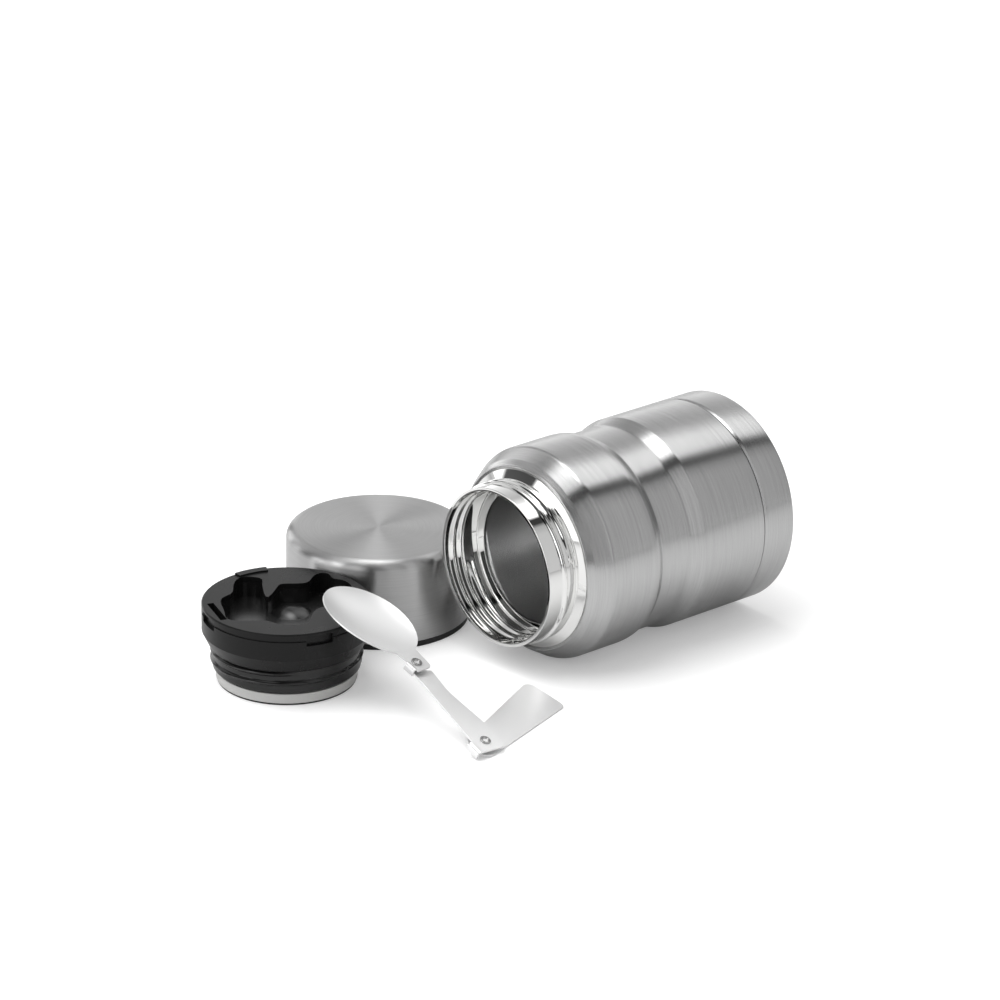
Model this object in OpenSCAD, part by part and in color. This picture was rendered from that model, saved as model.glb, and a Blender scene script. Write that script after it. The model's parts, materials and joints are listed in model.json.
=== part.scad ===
// Insulated food jar, laid out open: the vacuum jar lies on its side, its cup lid stands
// mouth down, its stopper stands on its foot, and the folding spoon leans on the stopper.
// The origin is at the middle of the layout's footprint, on the surface it stands on.
// The jar's axis runs along +X from its mouth to its base, and +Z is up.

/* [Jar] */
// Outer diameter of the jar
body_d = 98; // [85:1:110]
// Length of the jar, from the lip to the base
jar_len = 136.3; // [115:0.1:170]
// Sheet thickness of the outer shell
shell_wall = 0.6; // [0.4:0.1:0.8]
// Length of the base cap, from its seam to the base
cap_len = 18.3; // [12:0.1:24]
// Depth of the gripping waist
waist_depth = 2.4; // [1:0.1:2.6]
// Distance from the lip to the start of the waist
waist_from = 57.6; // [57:0.2:62]
// Distance from the lip to the end of the waist
waist_to = 74.8; // [66:0.2:78]
// Length of the cone that leads from the waist back to the full diameter
cone_len = 7.2; // [5:0.1:10]
// Length of the bare neck
neck_len = 15.3; // [14.5:0.1:16]

/* [Inner vessel] */
// Distance from the outside of the jar to the food space
wall_depth = 5.5; // [5.5:0.1:10]
// Distance from the outside of the cup to the inside of the neck
mouth_depth = 7.35; // [7.2:0.05:9]
// Width of the stopper's seat inside the neck
seat_w = 4.1; // [3:0.1:5]
// Distance from the lip to the stopper's seat
seat_at = 19.4; // [19:0.1:20.4]
// Sheet thickness of the inner vessel
vessel_wall = 0.5; // [0.3:0.1:0.6]

/* [Cup lid] */
// Distance from the outside of the jar to the outside of the cup
cup_inset = 7; // [5:0.25:8]
// Height of the cup
cup_h = 43; // [42:0.5:60]
// Height of the black rim ring
ring_h = 3; // [2.5:0.1:4]
// Sheet thickness of the cup's steel shell
cup_wall = 0.5; // [0.4:0.1:0.6]
// Cup axis along the jar, from the jar's mouth plane
cup_x = -1.2; // [-10:0.2:5]
// Gap between the cup and the jar's shoulder
cup_gap = 0.4; // [0.4:0.1:10]

/* [Stopper] */
// Height of the stopper
stopper_h = 36.6; // [35:0.2:38]
// Height of the threaded part below the skirt
thread_h = 18.6; // [18.6:0.2:20]
// Depth of the spoon recess
recess_h = 9.6; // [8:0.2:10]
// Height of the silicone seal
seal_h = 4.6; // [4:0.1:5]
// Gap between the stopper and the cup
stopper_gap = 0.8; // [0.3:0.1:10]
// Direction from the cup's axis to the stopper's axis
stopper_bearing = 200.3; // [190:0.1:230]
// Turn of the stopper about its axis
stopper_turn = -41.2; // [-80:0.2:40]

/* [Spoon] */
// Sheet thickness of the spoon's flat links
link_sheet = 0.9; // [0.7:0.1:1]
// Length of the spoon's bowl
bowl_len = 47.6; // [42:0.1:50]
// Width of the spoon's bowl
bowl_w = 34.1; // [30:0.1:40]
// Depth of the spoon's bowl
bowl_depth = 3.5; // [2.5:0.1:5]
// Distance between the two rivets
rivet_gap = 50.2; // [50:0.1:56]
// Length of the handle from its rivet to its end
handle_len = 57.2; // [50:0.2:60]
// Width of the handle at its rivet
handle_root_w = 14.1; // [13:0.1:14.3]
// Width of the handle at its end
handle_end_w = 20.4; // [18:0.2:22]
// Lean of the spoon about the edge that lies on the table
spoon_lean = 22; // [20:0.1:25]
// Turn of the handle's lower edge on the table
edge_turn = 17.7; // [10:0.1:20]
// Opening of the arm above the handle's lower edge
arm_turn = 74.2; // [70:0.1:80]
// Turn of the bowl past straight
bowl_turn = 5.5; // [0:0.1:6]
// Distance along the handle's lower edge from the handle's rivet to the stopper's axis
spoon_along = 18.5; // [16:0.1:22]

/* [Hidden] */

// Counts: segments of a full circle, of a rounded corner, of one turn of thread
$fn = 96;
corner_steps = 5;
turn_steps = 40;

// Overrun of a cut past the face it leaves
over = 0.5;
// Gap between nested parts that are slid together
fit_gap = 0.1;

// Jar, worked out from the sizes above
body_r = body_d / 2;
waist_r = body_r - waist_depth;
food_r = body_r - wall_depth;
cup_r = body_r - cup_inset;
throat_r = cup_r - mouth_depth;
seam_at = jar_len - cap_len;
neck_gap = 0.5;
neck_r = throat_r + vessel_wall + neck_gap + shell_wall;
opening_r = throat_r - seat_w;
vessel_r = food_r + vessel_wall;

// Shoulder: ledge that the cup stands on, its bead, and the cone behind it
lip_t = 0.6;
ledge_under = 0.95;
ledge_r = cup_r - ledge_under;
ledge_drop = 1.8;
bead_over = 0.25;
bead_r = cup_r + bead_over;
bead_rise = 0.35;
shoulder_over = 2.2;
shoulder_r = bead_r + shoulder_over;
shoulder_drop = 2.5;
shoulder_slope = 30.5;
shoulder_round = 5.6;
ledge_at = neck_len + ledge_drop;
shoulder_at = ledge_at + shoulder_drop;
corner_at = shoulder_at + (body_r - shoulder_r) / tan(shoulder_slope);
small_round = 0.3;

// Roll-off in front of the waist, with its pressed crease
roll_len = 7.1;
roll_drop = 0.2;
crease_len = 4.9;
crease_drop = 0.55;
crease_end_len = 3.2;
roll_round = 6;
waist_round = 2.4;
cone_round = 6;

// Rolled thread ridges of the neck, outside for the cup and inside for the stopper
skirt_over = 1.4;
lug_play = 0.15;
lug_bite = 0.2;
skirt_r = neck_r + skirt_over;
lug_r = skirt_r + lug_play;
outer_ridge_h = lug_r + lug_bite - neck_r;
outer_ridge_w = 2.4;
outer_pitch = 4.6;
outer_turns = 1.7;
outer_ridge_from = 5.3;
inner_ridge_h = 1.3;
inner_ridge_w = 3.4;
inner_pitch = 4.6;
inner_turns = 2.2;
inner_ridge_from = 3.1;
ridge_sink = 0.2;
ridge_top_share = 0.35;
ridge_fade_share = 0.07;

// Base of the jar
seam_gap = 0.45;
base_round = 1.2;
base_dish = 1.5;
base_foot_w = 9;
base_dish_r = body_r - base_foot_w;
sleeve_len = 4;
vacuum_base_back = 5;
bead_hole_r = 1;
sealing_bead_r = 3;
sealing_bead_h = 1.4;
getter_r = 6;
getter_h = 1.6;

// Inner vessel
seat_round = 0.8;
flare_len = 9.5;
flare_front = 1.6;
flare_round = 4;
vessel_end_gap = 7.8;
vessel_corner = 6;
vessel_join_len = 7;
vessel_back = jar_len - vessel_end_gap;
join_at = vessel_back - vessel_join_len;
foil_t = 0.2;
foil_gap = 0.1;
foil_inset = 4;

// Cup lid
cup_round = 5;
ring_inset = 0.45;
liner_gap = 0.2;
liner_wall = 1.6;
collar_h = 14;
collar_over = 0.9;
collar_r = lug_r + collar_over;
collar_ramp = 2;
lug_h = 2.2;
lug_angle = 50;
lug_count = 4;
lug_from = 5;
liner_round = 3;

// Stopper
stopper_play = 0.9;
core_play = 0.7;
seal_over = 1.1;
stopper_thread_r = throat_r - stopper_play;
seal_r = opening_r + seal_over;
rim_bevel = 0.5;
rim_band = 2.3;
rim_groove_h = 1;
rim_groove_t = 0.5;
skirt_taper_h = 5.4;
skirt_taper_t = 2.6;
skirt_foot_h = 1.3;
skirt_foot_in = 0.5;
skirt_foot_r = throat_r - skirt_foot_in;
core_r = throat_r - inner_ridge_h - core_play;
core_wall = 1.9;
core_ledge_h = 5.9;
core_floor = 1.8;
stopper_ridge_w = 2.2;
stopper_ridge_from = 7.9;
stopper_pitch = 4.6;
stopper_turns = 1.78;
foot_t = 0.9;
foot_inset = 0.6;
seal_t = 2.5;
spigot_r = seal_r - seal_t;
boss_r = 9;
boss_h = 2.2;
foam_gap = 0.2;

// Recess for the folded spoon, as shares of its reach, counter-clockwise from the left
recess_inset = 6.4;
recess_reach = skirt_r - recess_inset;
recess_outline_shares = [
    [-0.97, 0.03], [-0.76, 0.22], [-0.79, 0.52], [-0.74, 0.78], [-0.58, 0.84], [-0.37, 0.78],
    [-0.38, 0.55], [-0.29, -0.02], [-0.16, 0.44], [-0.13, 0.60], [0.10, 0.60], [0.29, 0.64],
    [0.33, 0.90], [0.46, 1.03], [0.58, 0.95], [0.61, 0.79], [0.78, 0.77], [0.92, 0.55],
    [0.95, 0.10], [0.80, -0.16], [0.50, -0.17], [0.37, -0.42], [0.38, -0.70], [0.20, -0.86],
    [-0.06, -0.86], [-0.24, -0.68], [-0.50, -0.73], [-0.82, -0.72], [-0.85, -0.40]];
recess_steps = 3;
dome_place_shares = [0.048, 0.302];
dome_r_share = 0.286;
dome_x = dome_place_shares.x * recess_reach;
dome_y = dome_place_shares.y * recess_reach;
dome_r = dome_r_share * recess_reach;
dome_h = 3;
slot_len = 19;
slot_w = 3;
slot_inset = 7.7;
slot_x = slot_inset - skirt_r;
slot_y = -13.2;
slot_angle = -68;
slot_depth = 6;
tab_inset = 0.35;
tab_w = 3.8;
tab_out_r = skirt_r - tab_inset;
tab_in_r = tab_out_r - tab_w;
tab_h = 0.7;
tab_from = 107;
tab_span = 24;
notch_depth = 1.6;
notch_h = 4.6;
notch_drop = 1.3;
notch_starts = [286, 196];
notch_span = 19;

// Spoon: heights are from the handle's upper face, along the spoon plane's normal
handle_gap = 1.2;
bowl_gap = 1.9;
arm_low = handle_gap;
arm_high = arm_low + link_sheet;
tab_low = arm_high + bowl_gap;
bowl_sheet = 0.7;
tab_high = tab_low + link_sheet;
rivet_r = 1.5;
rivet_play = 0.06;
head_r = 2.5;
head_h = 0.5;
head_round = 0.2;
head_dimple_r = 1;
head_dimple_h = 0.25;
washer_r = 3.2;
washer_play = 0.05;

handle_back = 7.3;
handle_back_round = 6;
handle_low_round = 2;
handle_high_round = 4.5;
handle_taper = atan((handle_end_w - handle_root_w) / 2 / handle_len);
handle_back_w = handle_root_w - 2 * handle_back * tan(handle_taper);
edge_drop = (handle_root_w / 2) * cos(handle_taper);

arm_left_w = 6.5;
arm_left_end_w = 3;
arm_right_w = 8.1;
arm_right_from = 9;
arm_waist_at = 32;
arm_waist_w = 5.1;
arm_waist_round = 20;
arm_nose_w = 6.7;
arm_nose_from = 44.5;
arm_nose_to = 46.2;
arm_nose_round = 0.8;
arm_neck_at = 47;
arm_neck_round = 0.5;
arm_end_from = 46;
arm_back = 6;
arm_end_r = 3.9;
arm_end_round = 3.4;
arm_corner = 3;
arm_flange_out = 8.9;
arm_flange_from = -5.8;
arm_flange_to = 1;
arm_flange_low = -1.3;
bend_round = 1.5;

tab_back = 4.9;
tab_right = 4.9;
tab_right_root = 6.5;
tab_left = 5.2;
tab_left_root = 4.7;
tab_reach = 8;
tab_left_reach = 10;
tab_corner = 1.8;
bowl_flange_from = -3.6;
bowl_flange_to = 1.8;
bowl_flange_low = 1.4;
bowl_root = 6.4;
bowl_root_sink = 0.15;
bowl_skew = 10.2;
fold_gap = 0.3;
bowl_mid_h = arm_high + fold_gap + bowl_sheet + bowl_depth;
bowl_tip_drop = 0.8;
bowl_power = 2.2;
bowl_ring_steps = 48;
bowl_radial_steps = 7;

// Rounded outlines
function unit(v) = v / norm(v);
function corner_arc(before, at, after, r) =
    let (u = unit(before - at),
        w = unit(after - at),
        half = acos(u * w) / 2,
        reach = r / tan(half),
        mid = at + unit(u + w) * (r / sin(half)),
        first = at + u * reach - mid,
        last = at + w * reach - mid,
        start = atan2(first.y, first.x),
        turn = atan2(last.y, last.x) - start,
        sweep = turn > 180 ? turn - 360 : turn < -180 ? turn + 360 : turn)
    [for (i = [0 : corner_steps])
        let (a = start + sweep * i / corner_steps)
        mid + r * [cos(a), sin(a)]];
function rounded(corners) =
    let (count = len(corners))
    [for (i = [0 : count - 1])
        let (before = corners[(i + count - 1) % count],
            at = corners[i],
            after = corners[(i + 1) % count])
        each (at[2] == 0 ? [[at.x, at.y]] : corner_arc([before.x, before.y], [at.x, at.y],
            [after.x, after.y], at[2]))];
function corner_centre(before, at, after, r) =
    let (b = [at.x, at.y],
        u = unit([before.x, before.y] - b),
        w = unit([after.x, after.y] - b))
    b + unit(u + w) * (r / sin(acos(u * w) / 2));
function middle(a, b) = (a + b) / 2;
function smooth_loop(points, steps) =
    let (count = len(points))
    [for (i = [0 : count - 1])
        let (a = middle(points[(i + count - 1) % count], points[i]),
            b = points[i],
            c = middle(points[i], points[(i + 1) % count]))
        for (j = [0 : steps - 1])
            let (t = j / steps)
            a * (1 - t) * (1 - t) + b * 2 * t * (1 - t) + c * t * t];

// Outline of the handle, and where the rounding next to its rivet has its centre
handle_corners = [
    [-handle_back, -handle_back_w / 2, handle_back_round],
    [handle_len, -handle_end_w / 2, handle_low_round],
    [handle_len, handle_end_w / 2, handle_high_round],
    [-handle_back, handle_back_w / 2, handle_back_round]];
heel_centre = corner_centre(handle_corners[3], handle_corners[0], handle_corners[1],
    handle_back_round);
heel_on_edge = [heel_centre.x * cos(handle_taper) - heel_centre.y * sin(handle_taper),
    heel_centre.x * sin(handle_taper) + heel_centre.y * cos(handle_taper) + edge_drop];

// Outer side of the jar: radius, distance from the lip, rounding, share of the wall
// by which the inner side lies further back
outer_corners = [
    [neck_r, lip_t, 0, 0],
    [neck_r, neck_len, small_round, 1],
    [ledge_r, ledge_at, small_round, 1],
    [bead_r, ledge_at - bead_rise, small_round, 1],
    [bead_r + small_round, ledge_at + small_round, small_round, 1],
    [shoulder_r, shoulder_at, small_round, 1],
    [body_r, corner_at, shoulder_round, 0.3],
    [body_r, waist_from - roll_len, roll_round, 0.1],
    [body_r - roll_drop, waist_from - crease_len, 0, 0],
    [body_r - crease_drop, waist_from - crease_end_len, waist_round, 0],
    [waist_r, waist_from, waist_round, 0],
    [waist_r, waist_to, cone_round, 0],
    [body_r, waist_to + cone_len, waist_round, 0],
    [body_r, seam_at, small_round, 0]];

// Cup: it stands clear of every edge of the jar's outline, at the height of the cup's top
cup_top = min(cup_h - cup_round, body_r);
function beside(along, r) =
    sqrt(r * r - pow(body_r - cup_top, 2)) + sqrt(pow(cup_r + cup_gap, 2) - pow(along - cup_x, 2));
cup_y = max([for (c = outer_corners) if (abs(c.y - cup_x) < cup_r + cup_gap) beside(c.y, c.x)]);

// Stopper: it stands beside the cup
stopper_x = cup_x + (cup_r + skirt_r + stopper_gap) * cos(stopper_bearing);
stopper_y = cup_y + (cup_r + skirt_r + stopper_gap) * sin(stopper_bearing);

// Spoon: the underside of its bowl rests on the near side of the stopper's rim
rest_gap = 0.3;
bowl_low = arm_high + fold_gap;
rim_reach = (stopper_h + rest_gap) / tan(spoon_lean) - (bowl_low + link_sheet) / sin(spoon_lean);
spoon_x = stopper_x - spoon_along * cos(edge_turn) + (rim_reach + skirt_r) * sin(edge_turn);
spoon_y = stopper_y - spoon_along * sin(edge_turn) - (rim_reach + skirt_r) * cos(edge_turn);

// Middle of the layout's footprint, from the jar's mouth plane and axis
layout_back = stopper_x - skirt_r;
layout_front = jar_len;
layout_left = cup_y + cup_r;
across = [sin(edge_turn), cos(spoon_lean) * cos(edge_turn)];
layout_right = spoon_y + heel_on_edge * across - handle_back_round * norm(across)
    - link_sheet * sin(spoon_lean) * cos(edge_turn);
middle_x = (layout_back + layout_front) / 2;
middle_y = (layout_left + layout_right) / 2;

// A helical ridge: its foot is sunk in the wall, and its ends fade into the wall
module thread_ridge(wall_r, height, width, pitch, turns, from, inward) {
    steps = round(turn_steps * turns);
    way = inward ? -1 : 1;
    fade = ridge_fade_share * steps;
    rise = function (i) height * min(1, (i + 1) / fade, (steps - i + 1) / fade);
    section = function (i)
        let (crest = wall_r + way * rise(i), foot = wall_r - way * ridge_sink,
            top = width * ridge_top_share / 2, low = width / 2)
        [[foot, -way * low], [crest, -way * top], [crest, way * top], [foot, way * low]];
    points = [for (i = [0 : steps])
        let (a = 360 * turns * i / steps, z = from + pitch * turns * i / steps)
        for (p = section(i)) [p.x * cos(a), p.x * sin(a), z + p.y]];
    sides = [for (i = [0 : steps - 1]) for (k = [0 : 3])
        let (a = 4 * i + k, b = 4 * i + (k + 1) % 4)
        each [[a, b, a + 4], [b, b + 4, a + 4]]];
    last = 4 * steps;
    polyhedron(points = points, faces = concat(sides,
        [[2, 1, 0], [3, 2, 0], [last, last + 1, last + 2], [last, last + 2, last + 3]]));
}

module sector(r, angle, height) {
    rotate_extrude(angle = angle) square([r, height]);
}

// Places
module jar_place() {
    translate([-middle_x, -middle_y, body_r]) rotate([0, 90, 0]) children();
}
module cup_place() {
    translate([cup_x - middle_x, cup_y - middle_y, 0]) children();
}
module stopper_place() {
    translate([stopper_x - middle_x, stopper_y - middle_y, 0])
        rotate([0, 0, stopper_turn]) children();
}
module handle_place() {
    translate([spoon_x - middle_x, spoon_y - middle_y, 0])
        rotate([0, 0, edge_turn])
            rotate([spoon_lean, 0, 0])
                translate([0, edge_drop, link_sheet])
                    rotate([0, 0, handle_taper]) children();
}
module arm_place() {
    handle_place() rotate([0, 0, arm_turn - handle_taper]) children();
}
module bowl_place() {
    arm_place() translate([rivet_gap, 0, 0]) rotate([0, 0, bowl_turn]) children();
}

module outer_shell() {
    back = len(outer_corners) - 1;
    inside = [for (i = [back : -1 : 0])
        let (c = outer_corners[i])
        [c.x - shell_wall, c.y + shell_wall * c[3], i == 0 || i == back ? 0 : c[2]]];
    color("silver") jar_place() union() {
        rotate_extrude() polygon(rounded(concat(outer_corners, inside)));
        thread_ridge(neck_r, outer_ridge_h, outer_ridge_w, outer_pitch, outer_turns,
            outer_ridge_from, false);
    }
}

// Closes the outer shell, with a sleeve that the base cap is pushed over
module vacuum_base() {
    sleeve_r = body_r - shell_wall - fit_gap;
    plate_at = jar_len - vacuum_base_back;
    color("gray") jar_place() rotate_extrude() polygon(rounded([
        [bead_hole_r, plate_at, 0],
        [sleeve_r - shell_wall, plate_at, small_round],
        [sleeve_r - shell_wall, seam_at - sleeve_len, 0],
        [sleeve_r, seam_at - sleeve_len, 0],
        [sleeve_r, plate_at + shell_wall, 2 * small_round],
        [bead_hole_r, plate_at + shell_wall, 0]]));
}

module base_cap() {
    in_r = body_r - shell_wall;
    color("silver") jar_place() rotate_extrude() polygon(rounded([
        [in_r, seam_at + seam_gap, 0],
        [body_r, seam_at + seam_gap, small_round],
        [body_r, jar_len, base_round],
        [base_dish_r, jar_len, small_round],
        [base_dish_r - base_dish, jar_len - base_dish, small_round],
        [0, jar_len - base_dish, 0],
        [0, jar_len - base_dish - shell_wall, 0],
        [base_dish_r - base_dish, jar_len - base_dish - shell_wall, small_round],
        [base_dish_r, jar_len - shell_wall, small_round],
        [in_r, jar_len - shell_wall, small_round]]));
}

// Drop of solder that closes the hole through which the jar was evacuated
module sealing_bead() {
    at = jar_len - vacuum_base_back;
    color("dimgray") jar_place() union() {
        translate([0, 0, at]) cylinder(r = bead_hole_r, h = shell_wall);
        translate([0, 0, at + shell_wall])
            cylinder(r1 = sealing_bead_r, r2 = bead_hole_r, h = sealing_bead_h);
    }
}

module inner_vessel() {
    throat_out = throat_r + vessel_wall;
    flare_at = seat_at + flare_front;
    color("lightgray") jar_place() union() {
        rotate_extrude() polygon(rounded([
            [throat_r, 0, small_round],
            [neck_r, 0, small_round],
            [neck_r, lip_t, 0],
            [throat_out, lip_t, 0],
            [throat_out, seat_at + vessel_wall, seat_round],
            [opening_r + vessel_wall, seat_at + vessel_wall, 0],
            [opening_r + vessel_wall, flare_at, 0],
            [vessel_r, flare_at + flare_len, flare_round],
            [vessel_r, join_at, 0],
            [food_r, join_at, 0],
            [food_r, flare_at + flare_len, flare_round],
            [opening_r, flare_at, 0],
            [opening_r, seat_at, small_round],
            [throat_r, seat_at, seat_round]]));
        thread_ridge(throat_r, inner_ridge_h, inner_ridge_w, inner_pitch, inner_turns,
            inner_ridge_from, true);
    }
}

module inner_bottom() {
    color("lightgray") jar_place() rotate_extrude() polygon(rounded([
        [food_r, join_at, 0],
        [vessel_r, join_at, 0],
        [vessel_r, vessel_back, vessel_corner],
        [0, vessel_back, 0],
        [0, vessel_back - vessel_wall, 0],
        [food_r, vessel_back - vessel_wall, vessel_corner - vessel_wall]]));
}

// Reflecting foil wrapped round the inner vessel, in the vacuum
module copper_foil() {
    from = seat_at + flare_front + flare_len + foil_inset;
    in_r = vessel_r + foil_gap;
    color("peru") jar_place() rotate_extrude()
        translate([in_r, from]) square([foil_t, join_at - from]);
}

module getter() {
    at = jar_len - vacuum_base_back - getter_h;
    color("dimgray") jar_place() translate([0, 0, at]) difference() {
        cylinder(r = getter_r, h = getter_h);
        translate([0, 0, -over]) cylinder(r = getter_r / 2, h = getter_h / 2 + over);
    }
}

module cup_shell() {
    color("silver") cup_place() rotate_extrude() polygon(rounded([
        [cup_r - cup_wall, ring_h, 0],
        [cup_r, ring_h, 0],
        [cup_r, cup_h, cup_round],
        [0, cup_h, 0],
        [0, cup_h - cup_wall, 0],
        [cup_r - cup_wall, cup_h - cup_wall, cup_round - cup_wall]]));
}

// Black liner: the rim ring, the threaded collar and the eating cup in one piece
module cup_liner() {
    out_r = cup_r - cup_wall - liner_gap;
    in_r = out_r - liner_wall;
    top = cup_h - cup_wall - liner_gap;
    color("black") cup_place() union() {
        rotate_extrude() polygon(rounded([
            [collar_r, 0, small_round],
            [cup_r - ring_inset, 0, small_round],
            [cup_r - ring_inset, ring_h, 0],
            [out_r, ring_h, 0],
            [out_r, top, cup_round],
            [0, top, 0],
            [0, top - liner_wall, 0],
            [in_r, top - liner_wall, liner_round],
            [in_r, collar_h + collar_ramp, 0],
            [collar_r, collar_h, 0]]));
        for (i = [0 : lug_count - 1])
            rotate([0, 0, i * 360 / lug_count]) rotate_extrude(angle = lug_angle)
                translate([lug_r, lug_from])
                    square([collar_r - lug_r + over, lug_h]);
    }
}

module stopper_top() {
    rim_low = stopper_h - rim_bevel - rim_band;
    seat = thread_h - skirt_foot_h;
    color([0.1, 0.1, 0.1]) stopper_place() difference() {
        union() {
            rotate_extrude() polygon(rounded([
                [0, stopper_h, 0],
                [0, thread_h + skirt_taper_h, 0],
                [core_r + fit_gap, thread_h + skirt_taper_h, 0],
                [core_r + fit_gap, seat, 0],
                [skirt_foot_r, seat, small_round],
                [skirt_r - skirt_taper_t, thread_h, small_round],
                [skirt_r, thread_h + skirt_taper_h, small_round],
                [skirt_r, rim_low - rim_groove_h, 0],
                [skirt_r - rim_groove_t, rim_low - rim_groove_h, 0],
                [skirt_r - rim_groove_t, rim_low, 0],
                [skirt_r, rim_low, 0],
                [skirt_r, stopper_h - rim_bevel, small_round],
                [skirt_r - rim_bevel, stopper_h, small_round]]));
            rotate([0, 0, tab_from]) translate([0, 0, stopper_h - over]) difference() {
                sector(tab_out_r, tab_span, tab_h + over);
                cylinder(r = tab_in_r, h = 2 * over + tab_h, center = true);
                translate([0, 0, over]) cylinder(r = tab_in_r, h = tab_h + over);
            }
        }
        difference() {
            translate([0, 0, stopper_h - recess_h])
                linear_extrude(recess_h + over)
                    polygon(smooth_loop(recess_outline_shares * recess_reach, recess_steps));
            recess_dome();
        }
        translate([slot_x, slot_y, stopper_h - slot_depth]) rotate([0, 0, slot_angle])
            translate([-slot_len / 2, -slot_w / 2, 0]) cube([slot_len, slot_w, slot_depth + over]);
        for (start = notch_starts)
            rotate([0, 0, start])
                translate([0, 0, stopper_h - notch_drop - notch_h]) difference() {
                    sector(skirt_r + over, notch_span, notch_h);
                    translate([0, 0, -over])
                        cylinder(r = skirt_r - notch_depth, h = notch_h + 2 * over);
                }
    }
}

// Low dome on the floor of the recess
module recess_dome() {
    ball_r = (dome_r * dome_r + dome_h * dome_h) / (2 * dome_h);
    floor_at = stopper_h - recess_h;
    translate([dome_x, dome_y, floor_at + dome_h - ball_r]) intersection() {
        sphere(r = ball_r);
        translate([0, 0, ball_r - dome_h - over])
            cylinder(r = dome_r + over, h = dome_h + 2 * over);
    }
}

// Threaded body of the stopper, hollow for the foam
module stopper_body() {
    top = thread_h + skirt_taper_h;
    color([0.08, 0.08, 0.08]) stopper_place() union() {
        rotate_extrude() polygon([
            [boss_r, foot_t],
            [spigot_r, foot_t],
            [spigot_r, core_ledge_h],
            [core_r, core_ledge_h + core_r - seal_r],
            [core_r, top],
            [core_r - core_wall, top],
            [core_r - core_wall, core_ledge_h + core_floor],
            [spigot_r - core_wall, core_ledge_h],
            [spigot_r - core_wall, foot_t + core_floor],
            [boss_r, foot_t + core_floor]]);
        thread_ridge(core_r, stopper_thread_r - core_r, stopper_ridge_w, stopper_pitch,
            stopper_turns, stopper_ridge_from, false);
    }
}

module stopper_foam() {
    top = thread_h + skirt_taper_h - foam_gap;
    in_r = core_r - core_wall - foam_gap;
    low = foot_t + core_floor + foam_gap;
    color("ivory") stopper_place() rotate_extrude() polygon([
        [0, foot_t + boss_h + foam_gap],
        [boss_r + foam_gap, foot_t + boss_h + foam_gap],
        [boss_r + foam_gap, low],
        [spigot_r - core_wall - foam_gap, low],
        [spigot_r - core_wall - foam_gap, core_ledge_h],
        [in_r, core_ledge_h + core_floor + foam_gap],
        [in_r, top],
        [0, top]]);
}

module seal_ring() {
    color("lightgray") stopper_place() rotate_extrude() polygon(rounded([
        [spigot_r, foot_t, 0],
        [seal_r - small_round, foot_t, small_round],
        [seal_r, foot_t + seal_h, small_round],
        [spigot_r, foot_t + seal_h, 0]]));
}

// Foot disc that holds the seal, with the boss that locks it in the body
module stopper_foot() {
    color([0.05, 0.05, 0.05]) stopper_place() union() {
        rotate_extrude() polygon(rounded([
            [0, 0, 0],
            [seal_r - foot_inset, 0, small_round],
            [seal_r - foot_inset, foot_t, 0],
            [0, foot_t, 0]]));
        cylinder(r = boss_r - fit_gap, h = foot_t + boss_h);
    }
}

// A flat sheet's edge bent down, along the link from one end of the flange to the other
module bent_flange(inner, out, high, low, from, to) {
    translate([from, 0, 0]) rotate([90, 0, 90]) linear_extrude(to - from)
        polygon(rounded([
            [inner, high - link_sheet, 0],
            [out - link_sheet, high - link_sheet, bend_round - link_sheet],
            [out - link_sheet, low, 0],
            [out, low, 0],
            [out, high, bend_round],
            [inner, high, 0]]));
}

module rivet_hole() {
    translate([0, 0, -handle_len]) cylinder(r = rivet_r + rivet_play, h = 2 * handle_len);
}

module spoon_handle() {
    color("silver") handle_place() difference() {
        translate([0, 0, -link_sheet]) linear_extrude(link_sheet) polygon(rounded(handle_corners));
        rivet_hole();
    }
}

module spoon_arm() {
    leaf_edge = arm_flange_out - bend_round - over;
    color("silver") arm_place() difference() {
        union() {
            translate([0, 0, arm_low]) linear_extrude(link_sheet) polygon(rounded([
                [-arm_back, -arm_right_w, arm_corner],
                [arm_right_from, -arm_right_w, arm_corner],
                [arm_waist_at, -arm_waist_w, arm_waist_round],
                [arm_nose_from, -arm_nose_w, arm_nose_round],
                [arm_nose_to, -arm_nose_w, arm_nose_round],
                [arm_neck_at, -arm_end_r, arm_neck_round],
                [rivet_gap + arm_end_r, -arm_end_r, arm_end_round],
                [rivet_gap + arm_end_r, arm_end_r, arm_end_round],
                [arm_end_from, arm_left_end_w, 0],
                [arm_flange_to + bend_round, arm_left_w, 0],
                [arm_flange_to - over, leaf_edge, 0],
                [-arm_back, leaf_edge, 0]]));
            bent_flange(leaf_edge - over, arm_flange_out, arm_high, arm_flange_low,
                arm_flange_from, arm_flange_to);
        }
        rivet_hole();
        translate([rivet_gap, 0, 0]) rivet_hole();
    }
}

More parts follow.
